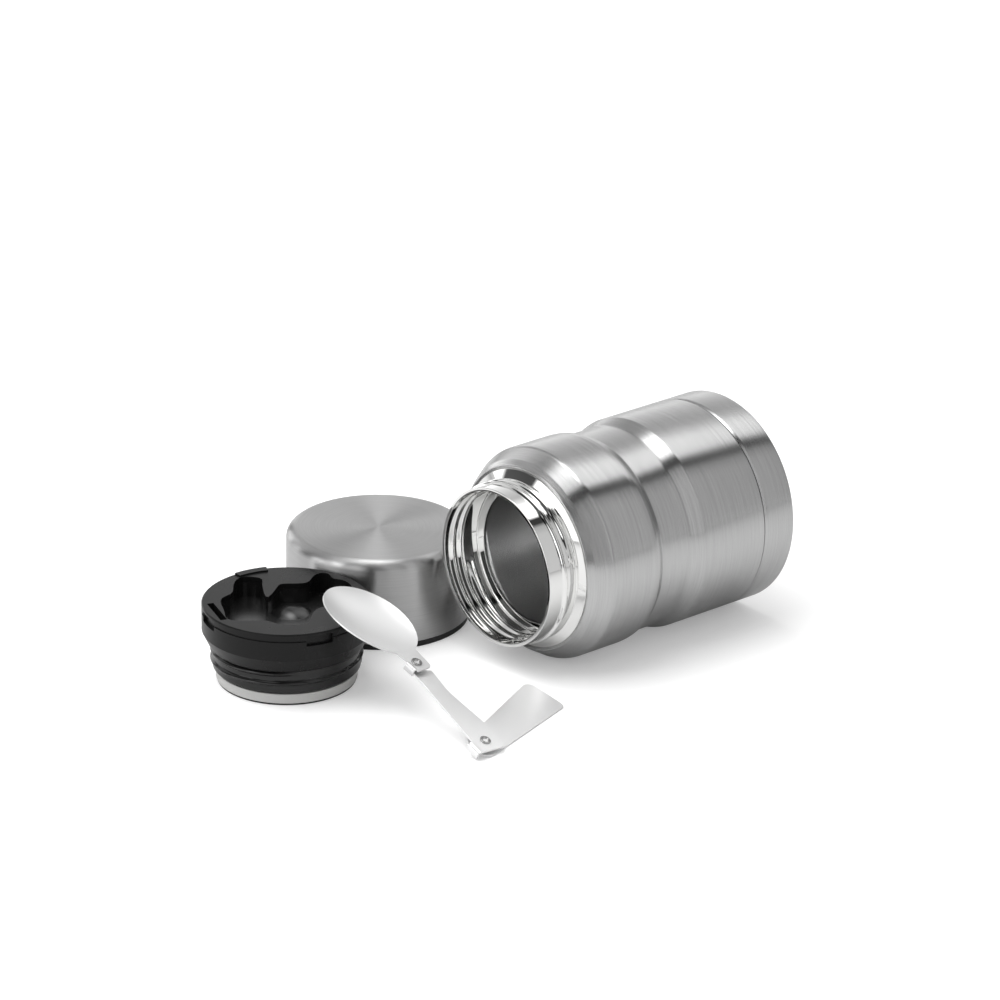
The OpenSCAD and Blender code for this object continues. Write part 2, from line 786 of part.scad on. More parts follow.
// Rim and dish of the bowl, as heights over the bowl's own axes
bowl_half = bowl_len / 2;
bowl_centre = bowl_root + bowl_half;
function rim_height(a) =
    let (s = a / bowl_half)
    bowl_mid_h - (s < 0 ? bowl_mid_h - tab_high + bowl_root_sink : bowl_tip_drop) * s * s;
function bowl_point(i, k) =
    let (s = k / bowl_radial_steps,
        angle = 360 * i / bowl_ring_steps,
        a = s * bowl_half * cos(angle),
        b = s * bowl_w / 2 * sin(angle))
    [a, b, rim_height(a) - bowl_depth * (1 - pow(s, bowl_power))];
module bowl_dish() {
    rings = bowl_ring_steps;
    last = bowl_radial_steps;
    upper = [bowl_point(0, 0), for (k = [1 : last]) for (i = [0 : rings - 1]) bowl_point(i, k)];
    lower = [for (p = upper) p - [0, 0, bowl_sheet]];
    below = len(upper);
    at = function (i, k) 1 + (k - 1) * rings + i % rings;
    fan = [for (i = [0 : rings - 1]) each [
        [0, at(i + 1, 1), at(i, 1)],
        [below, below + at(i, 1), below + at(i + 1, 1)]]];
    bands = [for (k = [1 : last - 1]) for (i = [0 : rings - 1])
        let (a = at(i, k), b = at(i + 1, k), c = at(i + 1, k + 1), d = at(i, k + 1))
        each [[a, b, c], [a, c, d],
            [below + a, below + c, below + b], [below + a, below + d, below + c]]];
    edge = [for (i = [0 : rings - 1])
        let (a = at(i, last), b = at(i + 1, last))
        each [[a, b, below + b], [a, below + b, below + a]]];
    polyhedron(points = concat(upper, lower), faces = concat(fan, bands, edge));
}

module spoon_bowl() {
    leaf_edge = tab_left - bend_round - over;
    color("silver") bowl_place() difference() {
        union() {
            translate([bowl_centre, 0, 0]) rotate([0, 0, bowl_skew]) bowl_dish();
            translate([0, 0, tab_low]) linear_extrude(link_sheet) polygon(rounded([
                [-tab_back, -tab_right, tab_corner],
                [tab_reach, -tab_right_root, 0],
                [tab_left_reach, tab_left_root, 0],
                [bowl_flange_to - over, leaf_edge, 0],
                [-tab_back, leaf_edge, 0]]));
            bent_flange(leaf_edge - over, tab_left, tab_high, bowl_flange_low,
                bowl_flange_from, bowl_flange_to);
        }
        rivet_hole();
    }
}

// Rivet with a rolled head at each end
module rivet(low, high) {
    difference() {
        rotate_extrude() polygon(rounded([
            [0, low - head_h, 0],
            [head_r, low - head_h, head_round],
            [head_r, low, 0],
            [rivet_r, low, 0],
            [rivet_r, high, 0],
            [head_r, high, 0],
            [head_r, high + head_h, head_round],
            [0, high + head_h, 0]]));
        translate([0, 0, high + head_h - head_dimple_h])
            cylinder(r = head_dimple_r, h = head_dimple_h + over);
    }
}

module handle_rivet() {
    color("silver") arm_place() rivet(-link_sheet - washer_play, arm_high);
}

module bowl_rivet() {
    color("silver") arm_place() translate([rivet_gap, 0, 0])
        rivet(arm_low, tab_high + washer_play);
}

module hinge_washer(low, high) {
    translate([0, 0, low]) difference() {
        cylinder(r = washer_r, h = high - low);
        translate([0, 0, -over]) cylinder(r = rivet_r + rivet_play, h = high - low + 2 * over);
    }
}

module handle_washer() {
    color("dimgray") arm_place() hinge_washer(washer_play, arm_low);
}

module bowl_washer() {
    color("dimgray") arm_place() translate([rivet_gap, 0, 0])
        hinge_washer(arm_high, tab_low - washer_play);
}

outer_shell();
vacuum_base();
base_cap();
sealing_bead();
inner_vessel();
inner_bottom();
copper_foil();
getter();
cup_shell();
cup_liner();
stopper_top();
stopper_body();
stopper_foam();
seal_ring();
stopper_foot();
spoon_bowl();
spoon_arm();
spoon_handle();
bowl_rivet();
handle_rivet();
bowl_washer();
handle_washer();
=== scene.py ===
import json
import math

import bmesh
import bpy
from mathutils import Matrix, Vector


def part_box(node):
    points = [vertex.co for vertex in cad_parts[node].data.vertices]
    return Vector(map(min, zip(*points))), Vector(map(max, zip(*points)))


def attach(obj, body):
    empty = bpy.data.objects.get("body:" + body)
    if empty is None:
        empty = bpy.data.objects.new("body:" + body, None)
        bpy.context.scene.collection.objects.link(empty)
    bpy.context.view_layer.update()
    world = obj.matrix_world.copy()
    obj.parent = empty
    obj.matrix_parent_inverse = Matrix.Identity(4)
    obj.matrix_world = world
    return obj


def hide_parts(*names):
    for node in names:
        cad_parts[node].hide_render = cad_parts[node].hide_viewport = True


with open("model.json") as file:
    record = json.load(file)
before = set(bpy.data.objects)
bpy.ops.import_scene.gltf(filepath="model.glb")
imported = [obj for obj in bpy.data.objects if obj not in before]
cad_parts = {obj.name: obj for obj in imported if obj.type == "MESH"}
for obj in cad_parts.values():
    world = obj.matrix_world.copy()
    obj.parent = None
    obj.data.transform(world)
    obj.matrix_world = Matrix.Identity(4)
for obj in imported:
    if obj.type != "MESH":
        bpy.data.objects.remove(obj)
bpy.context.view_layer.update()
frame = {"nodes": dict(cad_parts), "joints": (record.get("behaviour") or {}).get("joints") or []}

MM = 0.001
TURN = 2 * math.pi
SMOOTH_ANGLE = 32  # degrees; a sharper edge than this stays a crease
MERGE_DISTANCE = 1e-7
ROUND_STEPS = 6
SPIN_STEPS = 240


# Places, taken from the frame
def middle_of(name):
    """The middle of a solid's box."""
    low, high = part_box(name)
    return (low + high) / 2


jar_middle = middle_of("outer_shell")
MOUTH_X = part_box("inner_vessel")[0].x
JAR_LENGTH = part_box("base_cap")[1].x - MOUTH_X
BODY_RADIUS = jar_middle.z
CUP_MIDDLE = middle_of("cup_shell")
CUP_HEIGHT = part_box("cup_shell")[1].z
CUP_RADIUS = (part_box("cup_shell")[1].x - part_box("cup_shell")[0].x) / 2
STOPPER_MIDDLE = middle_of("stopper_body")
joints = {joint["name"]: joint for joint in frame["joints"]}
BOWL_RIVET = Vector(joints["bowl_fold"]["pos_m"])
HANDLE_RIVET = Vector(joints["handle_fold"]["pos_m"])
SPOON_NORMAL = Vector(joints["bowl_fold"]["axis"]).normalized()
ARM_ALONG = (BOWL_RIVET - HANDLE_RIVET).normalized()
RIVET_GAP = (BOWL_RIVET - HANDLE_RIVET).length

# How the links and the stopper are turned in the photograph
BOWL_TURN = math.radians(5.5)
HANDLE_TURN = math.radians(-74.2)
STOPPER_TURN = math.radians(-41.2)


def axes_at(origin, along, normal):
    """The place whose X runs along, whose Z is the normal, and whose origin is given."""
    across = normal.cross(along)
    return Matrix((
        (along.x, across.x, normal.x, origin.x),
        (along.y, across.y, normal.y, origin.y),
        (along.z, across.z, normal.z, origin.z),
        (0, 0, 0, 1)))


jar_mouth = Vector((MOUTH_X, jar_middle.y, jar_middle.z))
jar_place = axes_at(jar_mouth, along=Vector((0, 0, -1)), normal=Vector((1, 0, 0)))
cup_place = Matrix.Translation((CUP_MIDDLE.x, CUP_MIDDLE.y, 0))
stopper_place = (Matrix.Translation((STOPPER_MIDDLE.x, STOPPER_MIDDLE.y, 0))
                 @ Matrix.Rotation(STOPPER_TURN, 4, "Z"))
arm_place = axes_at(HANDLE_RIVET, ARM_ALONG, SPOON_NORMAL)
bowl_place = arm_place @ Matrix.Translation((RIVET_GAP, 0, 0)) @ Matrix.Rotation(BOWL_TURN, 4, "Z")
handle_place = arm_place @ Matrix.Rotation(HANDLE_TURN, 4, "Z")


# Outlines and shapes
def corner_arc(before, at, after, radius, steps):
    """Points of the arc that rounds the corner at, between its two neighbours."""
    first = (before - at).normalized()
    second = (after - at).normalized()
    half = first.angle(second) / 2
    middle = at + (first + second).normalized() * (radius / math.sin(half))
    start = at + first * (radius / math.tan(half)) - middle
    end = at + second * (radius / math.tan(half)) - middle
    from_angle = math.atan2(start.y, start.x)
    sweep = math.atan2(end.y, end.x) - from_angle
    if sweep > math.pi:
        sweep -= TURN
    if sweep < -math.pi:
        sweep += TURN
    return [middle + radius * Vector((math.cos(from_angle + sweep * i / steps),
                                      math.sin(from_angle + sweep * i / steps)))
            for i in range(steps + 1)]


def rounded(corners, steps=ROUND_STEPS):
    """An outline in metres from corners in millimetres: the two coordinates and the rounding."""
    points = []
    for index, (x, y, radius) in enumerate(corners):
        at = Vector((x, y))
        if radius == 0:
            points.append(at)
            continue
        before = Vector(corners[index - 1][:2])
        after = Vector(corners[(index + 1) % len(corners)][:2])
        points += corner_arc(before, at, after, radius, steps)
    return [point * MM for point in points]


def to_object(shape, name, place, smooth_angle=SMOOTH_ANGLE):
    """The finished mesh as an object at the origin, with its place in its mesh."""
    bmesh.ops.remove_doubles(shape, verts=shape.verts, dist=MERGE_DISTANCE)
    bmesh.ops.dissolve_degenerate(shape, edges=shape.edges, dist=MERGE_DISTANCE)
    bmesh.ops.recalc_face_normals(shape, faces=shape.faces)
    shape.transform(place)
    mesh = bpy.data.meshes.new(name)
    shape.to_mesh(mesh)
    shape.free()
    mesh.shade_smooth()
    mesh.set_sharp_from_angle(angle=math.radians(smooth_angle))
    made = bpy.data.objects.new(name, mesh)
    bpy.context.scene.collection.objects.link(made)
    return made


def spun(outline, closed=True, steps=SPIN_STEPS):
    """An outline of (radius, height) points, spun round the Z axis."""
    shape = bmesh.new()
    ring = [shape.verts.new((point.x, 0, point.y)) for point in outline]
    pairs = list(zip(ring, ring[1:]))
    if closed:
        pairs.append((ring[-1], ring[0]))
    edges = [shape.edges.new(pair) for pair in pairs]
    bmesh.ops.spin(shape, geom=ring + edges, cent=(0, 0, 0), axis=(0, 0, 1), dvec=(0, 0, 0),
                   angle=TURN, steps=steps, use_merge=True)
    return shape


def plate(outline, low, high, bevel=0.0, segments=3):
    """A flat plate over a closed outline, its edges rounded by the bevel."""
    shape = bmesh.new()
    face = shape.faces.new([shape.verts.new((point.x, point.y, low)) for point in outline])
    grown = bmesh.ops.extrude_face_region(shape, geom=[face])
    upper = [part for part in grown["geom"] if isinstance(part, bmesh.types.BMVert)]
    bmesh.ops.translate(shape, verts=upper, vec=(0, 0, high - low))
    if bevel > 0:
        rims = [edge for edge in shape.edges
                if abs(edge.verts[0].co.z - edge.verts[1].co.z) < (high - low) / 2]
        bmesh.ops.bevel(shape, geom=rims, offset=bevel, offset_type="OFFSET", segments=segments,
                        profile=0.5, affect="EDGES", material=-1)
    return shape


# The ends of a rolled thread, as shares of a turn, and its section
RIDGE_RUN_OUT = 0.07
RIDGE_BLUNT_END = 0.02
RIDGE_FOOT_SHARE = 0.62
RIDGE_FULLNESS = 0.75


def ridge_height(height, angle, first, width, pitch, turns, rise):
    """How far a rolled thread stands out of its wall at a height and an angle."""
    lift = 0.0
    share = (angle % TURN) / TURN
    for turn in range(int(turns) + 2):
        wound = turn + share
        if wound > turns:
            continue
        fade = min(1, (wound + RIDGE_BLUNT_END) / RIDGE_RUN_OUT,
                   (turns - wound + RIDGE_BLUNT_END) / RIDGE_RUN_OUT)
        reach = abs(height - first - pitch * wound) / (width * RIDGE_FOOT_SHARE)
        if reach < 1:
            swell = 0.5 + 0.5 * math.cos(math.pi * reach)
            lift = max(lift, rise * fade * swell ** RIDGE_FULLNESS)
    return lift


# Materials
BRUSH_LINES = 2400.0
BUMP_DEPTH = 0.02 * MM
NOISE_LOW, NOISE_HIGH = 0.3, 0.7  # the part of a noise's range that it really fills
ACROSS_BRUSH = 0.25  # the turn that lays the spread of a highlight across the brush lines


def grey(level):
    return level, level, level


def new_material(name, color, metallic, roughness):
    """A material with its principled shader, both returned."""
    material = bpy.data.materials.new(name)
    material.use_nodes = True
    shader = material.node_tree.nodes["Principled BSDF"]
    shader.inputs["Base Color"].default_value = (*color, 1)
    shader.inputs["Metallic"].default_value = metallic
    shader.inputs["Roughness"].default_value = roughness
    return material, shader


def node(tree, kind, **values):
    """A new node, its sockets or its own settings given by name."""
    made = tree.nodes.new(kind)
    for key, value in values.items():
        if key in made.inputs:
            made.inputs[key].default_value = value
        else:
            setattr(made, key, value)
    return made


def new_group(name, inputs, outputs):
    """A shader node group with its input and output nodes."""
    tree = bpy.data.node_groups.new(name, "ShaderNodeTree")
    for label, kind, value in inputs:
        socket = tree.interface.new_socket(label, in_out="INPUT", socket_type=kind)
        if value is not None:
            socket.default_value = value
    for label, kind in outputs:
        tree.interface.new_socket(label, in_out="OUTPUT", socket_type=kind)
    return tree, tree.nodes.new("NodeGroupInput"), tree.nodes.new("NodeGroupOutput")


def stretched_noise(tree):
    """A range node that stretches a noise over the whole of what it is mapped to."""
    made = node(tree, "ShaderNodeMapRange")
    made.inputs["From Min"].default_value = NOISE_LOW
    made.inputs["From Max"].default_value = NOISE_HIGH
    return made


def flattened(tree, vector):
    """A vector's parts, the vector without its Z part, and that one's length, as nodes."""
    apart = node(tree, "ShaderNodeSeparateXYZ")
    flat = node(tree, "ShaderNodeCombineXYZ")
    radius = node(tree, "ShaderNodeVectorMath", operation="LENGTH")
    tree.links.new(vector, apart.inputs[0])
    tree.links.new(apart.outputs["X"], flat.inputs["X"])
    tree.links.new(apart.outputs["Y"], flat.inputs["Y"])
    tree.links.new(flat.outputs[0], radius.inputs[0])
    return apart, flat, radius


def turned_brush_group():
    """Fine lines that run round the Z axis of their vector, as a turning brush leaves them."""
    tree, given, out = new_group("turned_brush", [
        ("Vector", "NodeSocketVector", None),
        ("Lines per metre", "NodeSocketFloat", 3000.0),
        ("Length share", "NodeSocketFloat", 2.0)], [("Lines", "NodeSocketFloat")])
    apart, flat, radius = flattened(tree, given.outputs["Vector"])
    unit = node(tree, "ShaderNodeVectorMath", operation="NORMALIZE")
    around = node(tree, "ShaderNodeVectorMath", operation="SCALE")
    apart_unit = node(tree, "ShaderNodeSeparateXYZ")
    out_lines = node(tree, "ShaderNodeMath", operation="MULTIPLY")
    up_lines = node(tree, "ShaderNodeMath", operation="MULTIPLY")
    together = node(tree, "ShaderNodeCombineXYZ")
    noise = node(tree, "ShaderNodeTexNoise", noise_dimensions="4D", Scale=1.0, Detail=2.0,
                 Roughness=0.6)
    link = tree.links.new
    link(flat.outputs[0], unit.inputs[0])
    link(unit.outputs[0], around.inputs[0])
    link(given.outputs["Length share"], around.inputs["Scale"])
    link(around.outputs[0], apart_unit.inputs[0])
    link(radius.outputs["Value"], out_lines.inputs[0])
    link(given.outputs["Lines per metre"], out_lines.inputs[1])
    link(apart.outputs["Z"], up_lines.inputs[0])
    link(given.outputs["Lines per metre"], up_lines.inputs[1])
    link(out_lines.outputs[0], together.inputs["X"])
    link(apart_unit.outputs["X"], together.inputs["Y"])
    link(apart_unit.outputs["Y"], together.inputs["Z"])
    link(together.outputs[0], noise.inputs["Vector"])
    link(up_lines.outputs[0], noise.inputs["W"])
    link(noise.outputs["Fac"], out.inputs["Lines"])
    return tree


def wear_group():
    """Slow patches that vary a finish a little, as handling does."""
    tree, given, out = new_group("wear", [
        ("Patches per metre", "NodeSocketFloat", 40.0),
        ("Low", "NodeSocketFloat", 0.2),
        ("High", "NodeSocketFloat", 0.3)], [("Value", "NodeSocketFloat")])
    place = node(tree, "ShaderNodeTexCoord")
    noise = node(tree, "ShaderNodeTexNoise", Detail=3.0, Roughness=0.55)
    stretched = stretched_noise(tree)
    link = tree.links.new
    link(place.outputs["Object"], noise.inputs["Vector"])
    link(given.outputs["Patches per metre"], noise.inputs["Scale"])
    link(noise.outputs["Fac"], stretched.inputs["Value"])
    link(given.outputs["Low"], stretched.inputs["To Min"])
    link(given.outputs["High"], stretched.inputs["To Max"])
    link(stretched.outputs["Result"], out.inputs["Value"])
    return tree


def grain_group():
    """The fine dull grain of moulded plastic and of silicone."""
    tree, given, out = new_group("moulded_grain", [
        ("Grains per metre", "NodeSocketFloat", 2500.0)], [("Height", "NodeSocketFloat")])
    place = node(tree, "ShaderNodeTexCoord")
    noise = node(tree, "ShaderNodeTexNoise", Detail=2.0, Roughness=0.5)
    link = tree.links.new
    link(place.outputs["Object"], noise.inputs["Vector"])
    link(given.outputs["Grains per metre"], noise.inputs["Scale"])
    link(noise.outputs["Fac"], out.inputs["Height"])
    return tree


turned_brush = turned_brush_group()
wear = wear_group()
moulded_grain = grain_group()


def placed_group(tree, group, **values):
    """A node group in a material, its inputs given by name."""
    made = tree.nodes.new("ShaderNodeGroup")
    made.node_tree = group
    for key, value in values.items():
        made.inputs[key.replace("_", " ")].default_value = value
    return made


def brushed_metal(name, color, rough, spread, axis, place, turn, bump, tone):
    """Metal brushed round an axis: place is a point on the axis, turn brings the axis to Z.

    rough is the lowest and the highest roughness, spread the anisotropy, and tone the darkest
    brush line as a share of the colour.
    """
    material, shader = new_material(name, color, 1.0, sum(rough) / 2)
    shader.inputs["Anisotropic"].default_value = spread
    shader.inputs["Anisotropic Rotation"].default_value = ACROSS_BRUSH
    tree = material.node_tree
    link = tree.links.new
    coordinate = node(tree, "ShaderNodeTexCoord")
    shift = node(tree, "ShaderNodeVectorMath", operation="SUBTRACT")
    shift.inputs[1].default_value = place
    turned = node(tree, "ShaderNodeMapping")
    turned.inputs["Rotation"].default_value = turn
    brush = placed_group(tree, turned_brush)
    brush.inputs["Lines per metre"].default_value = BRUSH_LINES
    patches = placed_group(tree, wear, Low=rough[0], High=rough[1])
    around = node(tree, "ShaderNodeTangent", direction_type="RADIAL", axis=axis)
    link(around.outputs[0], shader.inputs["Tangent"])
    link(coordinate.outputs["Object"], shift.inputs[0])
    link(shift.outputs[0], turned.inputs["Vector"])
    link(turned.outputs[0], brush.inputs["Vector"])
    link(patches.outputs["Value"], shader.inputs["Roughness"])
    bumps = node(tree, "ShaderNodeBump", Strength=bump, Distance=BUMP_DEPTH)
    link(brush.outputs["Lines"], bumps.inputs["Height"])
    link(bumps.outputs["Normal"], shader.inputs["Normal"])
    shade = node(tree, "ShaderNodeMix", data_type="RGBA")
    stretched = stretched_noise(tree)
    link(brush.outputs["Lines"], stretched.inputs["Value"])
    link(stretched.outputs["Result"], shade.inputs["Factor"])
    shade.inputs["A"].default_value = (*[part * tone for part in color], 1)
    shade.inputs["B"].default_value = (*color, 1)
    link(shade.outputs["Result"], shader.inputs["Base Color"])
    return material


def polished_metal(name, color, rough, metallic=1.0):
    """Bright metal whose polish varies a little over the surface."""
    material, shader = new_material(name, color, metallic, sum(rough) / 2)
    tree = material.node_tree
    patches = placed_group(tree, wear, Low=rough[0], High=rough[1])
    tree.links.new(patches.outputs["Value"], shader.inputs["Roughness"])
    return material


def moulded(name, color, rough, grains, bump, specular=0.5):
    """Moulded plastic or rubber, with its grain and a slightly uneven gloss."""
    material, shader = new_material(name, color, 0.0, sum(rough) / 2)
    shader.inputs["Specular IOR Level"].default_value = specular
    tree = material.node_tree
    patches = placed_group(tree, wear, Low=rough[0], High=rough[1])
    tree.links.new(patches.outputs["Value"], shader.inputs["Roughness"])
    grain = placed_group(tree, moulded_grain)
    grain.inputs["Grains per metre"].default_value = grains
    bumps = node(tree, "ShaderNodeBump", Strength=bump, Distance=BUMP_DEPTH)
    tree.links.new(grain.outputs["Height"], bumps.inputs["Height"])
    tree.links.new(bumps.outputs["Normal"], shader.inputs["Normal"])
    return material


# How far out from the stopper's axis and how far below its top the gloss begins
STOPPER_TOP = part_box("stopper_top")[1].z
RECESS_REACH = 33 * MM
RECESS_EDGE = 3.5 * MM
RECESS_ROUGHNESS = 0.26


def polish_recess(material):
    """Gives the hollow in the stopper's top a smoother gloss than the outside."""
    tree = material.node_tree
    shader = tree.nodes["Principled BSDF"]
    link = tree.links.new
    outside = shader.inputs["Roughness"].links[0].from_socket
    coordinate = node(tree, "ShaderNodeTexCoord")
    shift = node(tree, "ShaderNodeVectorMath", operation="SUBTRACT")
    shift.inputs[1].default_value = (STOPPER_MIDDLE.x, STOPPER_MIDDLE.y, STOPPER_TOP)
    apart, _, radius = flattened(tree, shift.outputs[0])
    within = node(tree, "ShaderNodeMath", operation="LESS_THAN")
    within.inputs[1].default_value = RECESS_REACH
    below = node(tree, "ShaderNodeMath", operation="LESS_THAN")
    below.inputs[1].default_value = -RECESS_EDGE
    inside = node(tree, "ShaderNodeMath", operation="MULTIPLY")
    chosen = node(tree, "ShaderNodeMix", data_type="FLOAT")
    chosen.inputs["B"].default_value = RECESS_ROUGHNESS
    link(coordinate.outputs["Object"], shift.inputs[0])
    link(radius.outputs["Value"], within.inputs[0])
    link(apart.outputs["Z"], below.inputs[0])
    link(within.outputs[0], inside.inputs[0])
    link(below.outputs[0], inside.inputs[1])
    link(inside.outputs[0], chosen.inputs["Factor"])
    link(outside, chosen.inputs["A"])
    link(chosen.outputs["Result"], shader.inputs["Roughness"])
    link(inside.outputs[0], shader.inputs["Coat Weight"])
    shader.inputs["Coat Roughness"].default_value = RECESS_ROUGHNESS


jar_steel = brushed_metal(
    "jar_brushed_steel", grey(0.62), rough=(0.22, 0.26), spread=0.8, axis="X",
    place=(0, jar_middle.y, jar_middle.z), turn=(0, -math.pi / 2, 0), bump=0.1, tone=0.86)
cup_steel = brushed_metal(
    "cup_brushed_steel", grey(0.55), rough=(0.32, 0.36), spread=0.9, axis="Z",
    place=(CUP_MIDDLE.x, CUP_MIDDLE.y, 0), turn=(0, 0, 0), bump=0.08, tone=0.9)
neck_steel = polished_metal("polished_steel", (0.93, 0.93, 0.92), rough=(0.03, 0.06))
satin_steel = polished_metal("food_space_steel", grey(0.9), rough=(0.2, 0.26))
spoon_steel = polished_metal("spoon_satin_steel", grey(0.95), rough=(0.28, 0.34), metallic=0.7)
# The dish's steel is a darker, less metallic copy of the spoon's steel: painted shade that dims the
# bright reflection of the overhead box in the dish.
dish_painted_shade_steel = polished_metal("spoon_dish_painted_shade_steel", grey(0.66), rough=(0.3, 0.36), metallic=0.5)
# The rivets' steel is painted darker: painted shade standing in for the dark crescents in their
# rolled heads.
rivet_steel = polished_metal("rivet_steel", grey(0.45), rough=(0.05, 0.09))
hidden_steel = polished_metal("plain_steel", grey(0.5), rough=(0.35, 0.45))
bright_foil = polished_metal("copper_foil_finish", (0.85, 0.42, 0.27), rough=(0.12, 0.3))
dull_solder = polished_metal("solder_and_getter", grey(0.25), rough=(0.5, 0.65))
stopper_black = moulded("stopper_black", grey(0.006), rough=(0.26, 0.34), grains=3200.0,
                        bump=0.2, specular=0.22)
thread_black = moulded("stopper_thread_black", grey(0.005), rough=(0.12, 0.18), grains=3200.0,
                       bump=0.1)
liner_black = moulded("cup_liner_black", grey(0.006), rough=(0.12, 0.2), grains=3200.0, bump=0.15)
washer_black = moulded("washer_black", grey(0.03), rough=(0.4, 0.5), grains=3200.0, bump=0.2)
pale_silicone = moulded("pale_silicone", (0.5, 0.5, 0.49), rough=(0.45, 0.55), grains=2500.0,
                        bump=0.3)
rigid_foam = moulded("rigid_foam", (0.8, 0.76, 0.65), rough=(0.8, 0.95), grains=900.0, bump=1.0)
polish_recess(stopper_black)


def finish_piece(piece, material):
    """Gives a piece one material in place of what it had."""
    piece.data.materials.clear()
    piece.data.materials.append(material)
    return piece


def dressed(piece, material, body, node_name):
    """Gives a piece its finish and its body, and hides the solid that it stands for."""
    finish_piece(piece, material)
    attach(piece, body)
    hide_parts(node_name)
    return piece


NODE_FINISHES = {
    "outer_shell": jar_steel, "base_cap": jar_steel, "cup_shell": cup_steel,
    "inner_vessel": neck_steel, "inner_bottom": satin_steel, "vacuum_base": hidden_steel,
    "sealing_bead": dull_solder, "getter": dull_solder, "copper_foil": bright_foil,
    "cup_liner": liner_black, "stopper_top": stopper_black, "stopper_body": thread_black,
    "stopper_foot": stopper_black, "stopper_foam": rigid_foam, "seal_ring": pale_silicone,
    "spoon_bowl": dish_painted_shade_steel, "spoon_arm": spoon_steel, "spoon_handle": spoon_steel,
    "bowl_rivet": rivet_steel, "handle_rivet": rivet_steel, "bowl_washer": washer_black,
    "handle_washer": washer_black}
for node_name, finish in NODE_FINISHES.items():
    finish_piece(frame["nodes"][node_name], finish)


# Jar, in millimetres along its axis from the mouth and out from the axis
LENGTH = JAR_LENGTH / MM
BODY = BODY_RADIUS / MM
EDGE = 0.3
SHELL_WALL = 0.6
LIP_THICKNESS = 0.6
NECK_RADIUS = 36.5
NECK_LENGTH = 15.3
LEDGE_AT = 17.1
LEDGE_RADIUS = 41.3
BEAD_RADIUS = 42.5
BEAD_RISE = 0.35
BEAD_INSET = 0.1
SHOULDER_AT = 19.6
SHOULDER_RADIUS = 44.7
CORNER_AT = 26.9
CORNER_ROUND = 5.6
WAIST_FROM = 57.6
WAIST_TO = 74.8
WAIST_DEPTH = 2.4
WAIST_ROUND = 2.4
SLOW_ROUND = 6
CREASE_LENGTH = 7.1
CREASE_ROUND = 0.4
CONE_LENGTH = 7.2
SEAM_AT = LENGTH - 18.3
SEAM_ROUND = 0.58
THREAD_STEP = 0.3
OUTER_THREAD = {"first": 5.3, "width": 2.4, "pitch": 4.6, "turns": 1.7, "rise": 1.2}
INNER_THREAD = {"first": 3.1, "width": 3.4, "pitch": 4.6, "turns": 2.2, "rise": 1.3}
STOPPER_THREAD = {"first": 7.9, "width": 2.2, "pitch": 4.6, "turns": 1.78, "rise": 1.1}
THREAD_REACH = 0.02  # how near to its wall's radius a point has to be, to be rolled


def ladder(radius, low, high, step=THREAD_STEP):
    """Evenly spaced points up a straight wall, so that a thread can be rolled in it."""
    count = max(2, round(abs(high - low) / step))
    return [(radius, low + (high - low) * i / count, 0) for i in range(count + 1)]


def rolled(shape, radius, low, high, thread, way=1):
    """Presses a thread in the wall of a spun shape, outwards or inwards."""
    for vert in shape.verts:
        height = vert.co.z / MM
        out = math.hypot(vert.co.x, vert.co.y) / MM
        if abs(out - radius) > THREAD_REACH or not low <= height <= high:
            continue
        angle = math.atan2(vert.co.y, vert.co.x) % TURN
        scale = 1 + way * ridge_height(height, angle, **thread) / out
        vert.co.x *= scale
        vert.co.y *= scale


def jar_neck():
    """The polished neck of the outer wall with its rolled thread, down to the cup's ledge."""
    straight_to = NECK_LENGTH - 0.5
    rolled_from, rolled_to = 1.2, NECK_LENGTH - 0.4
    outer = ladder(NECK_RADIUS, LIP_THICKNESS, straight_to) + [
        (NECK_RADIUS, NECK_LENGTH, EDGE * 2),
        (LEDGE_RADIUS, LEDGE_AT, EDGE)]
    inner = [
        (LEDGE_RADIUS - SHELL_WALL, LEDGE_AT + SHELL_WALL, 0),
        (NECK_RADIUS - SHELL_WALL, NECK_LENGTH + SHELL_WALL, 0),
        (NECK_RADIUS - SHELL_WALL, LIP_THICKNESS, 0)]
    shape = spun(rounded(outer + inner))
    rolled(shape, NECK_RADIUS, rolled_from, rolled_to, OUTER_THREAD)
    neck = to_object(shape, "jar_neck", jar_place)
    return dressed(neck, neck_steel, "jar", "outer_shell")


